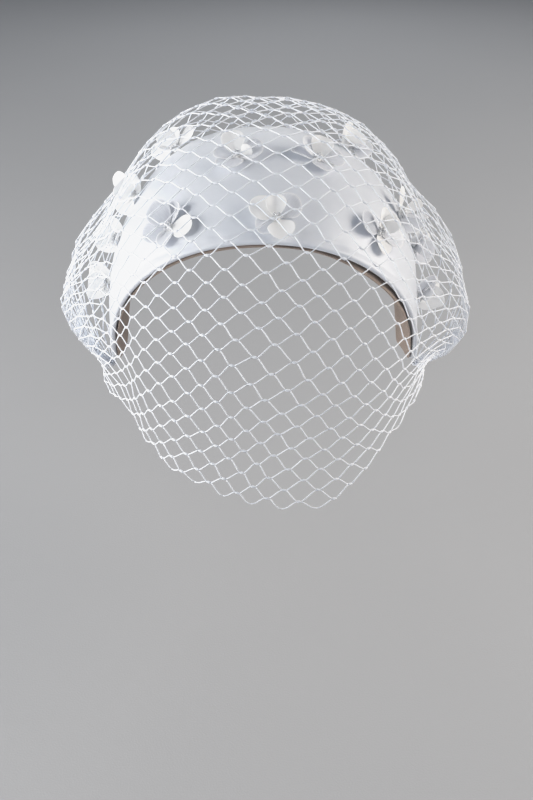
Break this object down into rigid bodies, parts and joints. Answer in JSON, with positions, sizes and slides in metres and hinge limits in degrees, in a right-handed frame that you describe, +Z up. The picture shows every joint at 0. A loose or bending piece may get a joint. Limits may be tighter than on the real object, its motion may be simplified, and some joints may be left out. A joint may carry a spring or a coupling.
{
  "type": "half hat with flowers and a netting veil",
  "caption": "Bridal half hat: a satin shell over the head from ear to ear, small fabric flowers with crystal centres, and an open diamond netting veil over it and the face.",
  "frame": {"origin": "the point at the top of the head that the hat rests on, in its middle from side to side: it lies on the lining's underside at its highest point, on the plane of symmetry", "axes": "+Z up out of the head, -Y where the wearer faces (the veil falls on that side), +X towards the wearer's left ear, which is the viewer's right from in front"},
  "size_m": [0.2267, 0.1878, 0.1659],
  "materials": {
    "satin": "ivory-white duchess satin, soft sheen",
    "lining": "matt beige-brown plain-weave lining",
    "netting": "white knotted nylon netting",
    "organza": "white sheer organza and satin petals",
    "crystal": "clear faceted crystal"
  },
  "bodies": {
    "root": {"crown": "satin", "lining": "lining", "veil": "netting", "flower_top_left": "organza", "flower_top_right": "organza", "flower_front_middle": "organza", "flower_front_left": "organza", "flower_front_right": "organza", "flower_crest_left": "organza", "flower_crest_right": "organza", "flower_shoulder_left": "organza", "flower_shoulder_right": "organza", "flower_side_left": "organza", "flower_side_right": "organza", "flower_end_left": "organza", "flower_end_right": "organza", "bead_top_left": "crystal", "bead_top_right": "crystal", "bead_front_middle": "crystal", "bead_front_left": "crystal", "bead_front_right": "crystal", "bead_crest_left": "crystal", "bead_crest_right": "crystal", "bead_shoulder_left": "crystal", "bead_shoulder_right": "crystal", "bead_side_left": "crystal", "bead_side_right": "crystal", "bead_end_left": "crystal", "bead_end_right": "crystal"}
  },
  "joints": []
}
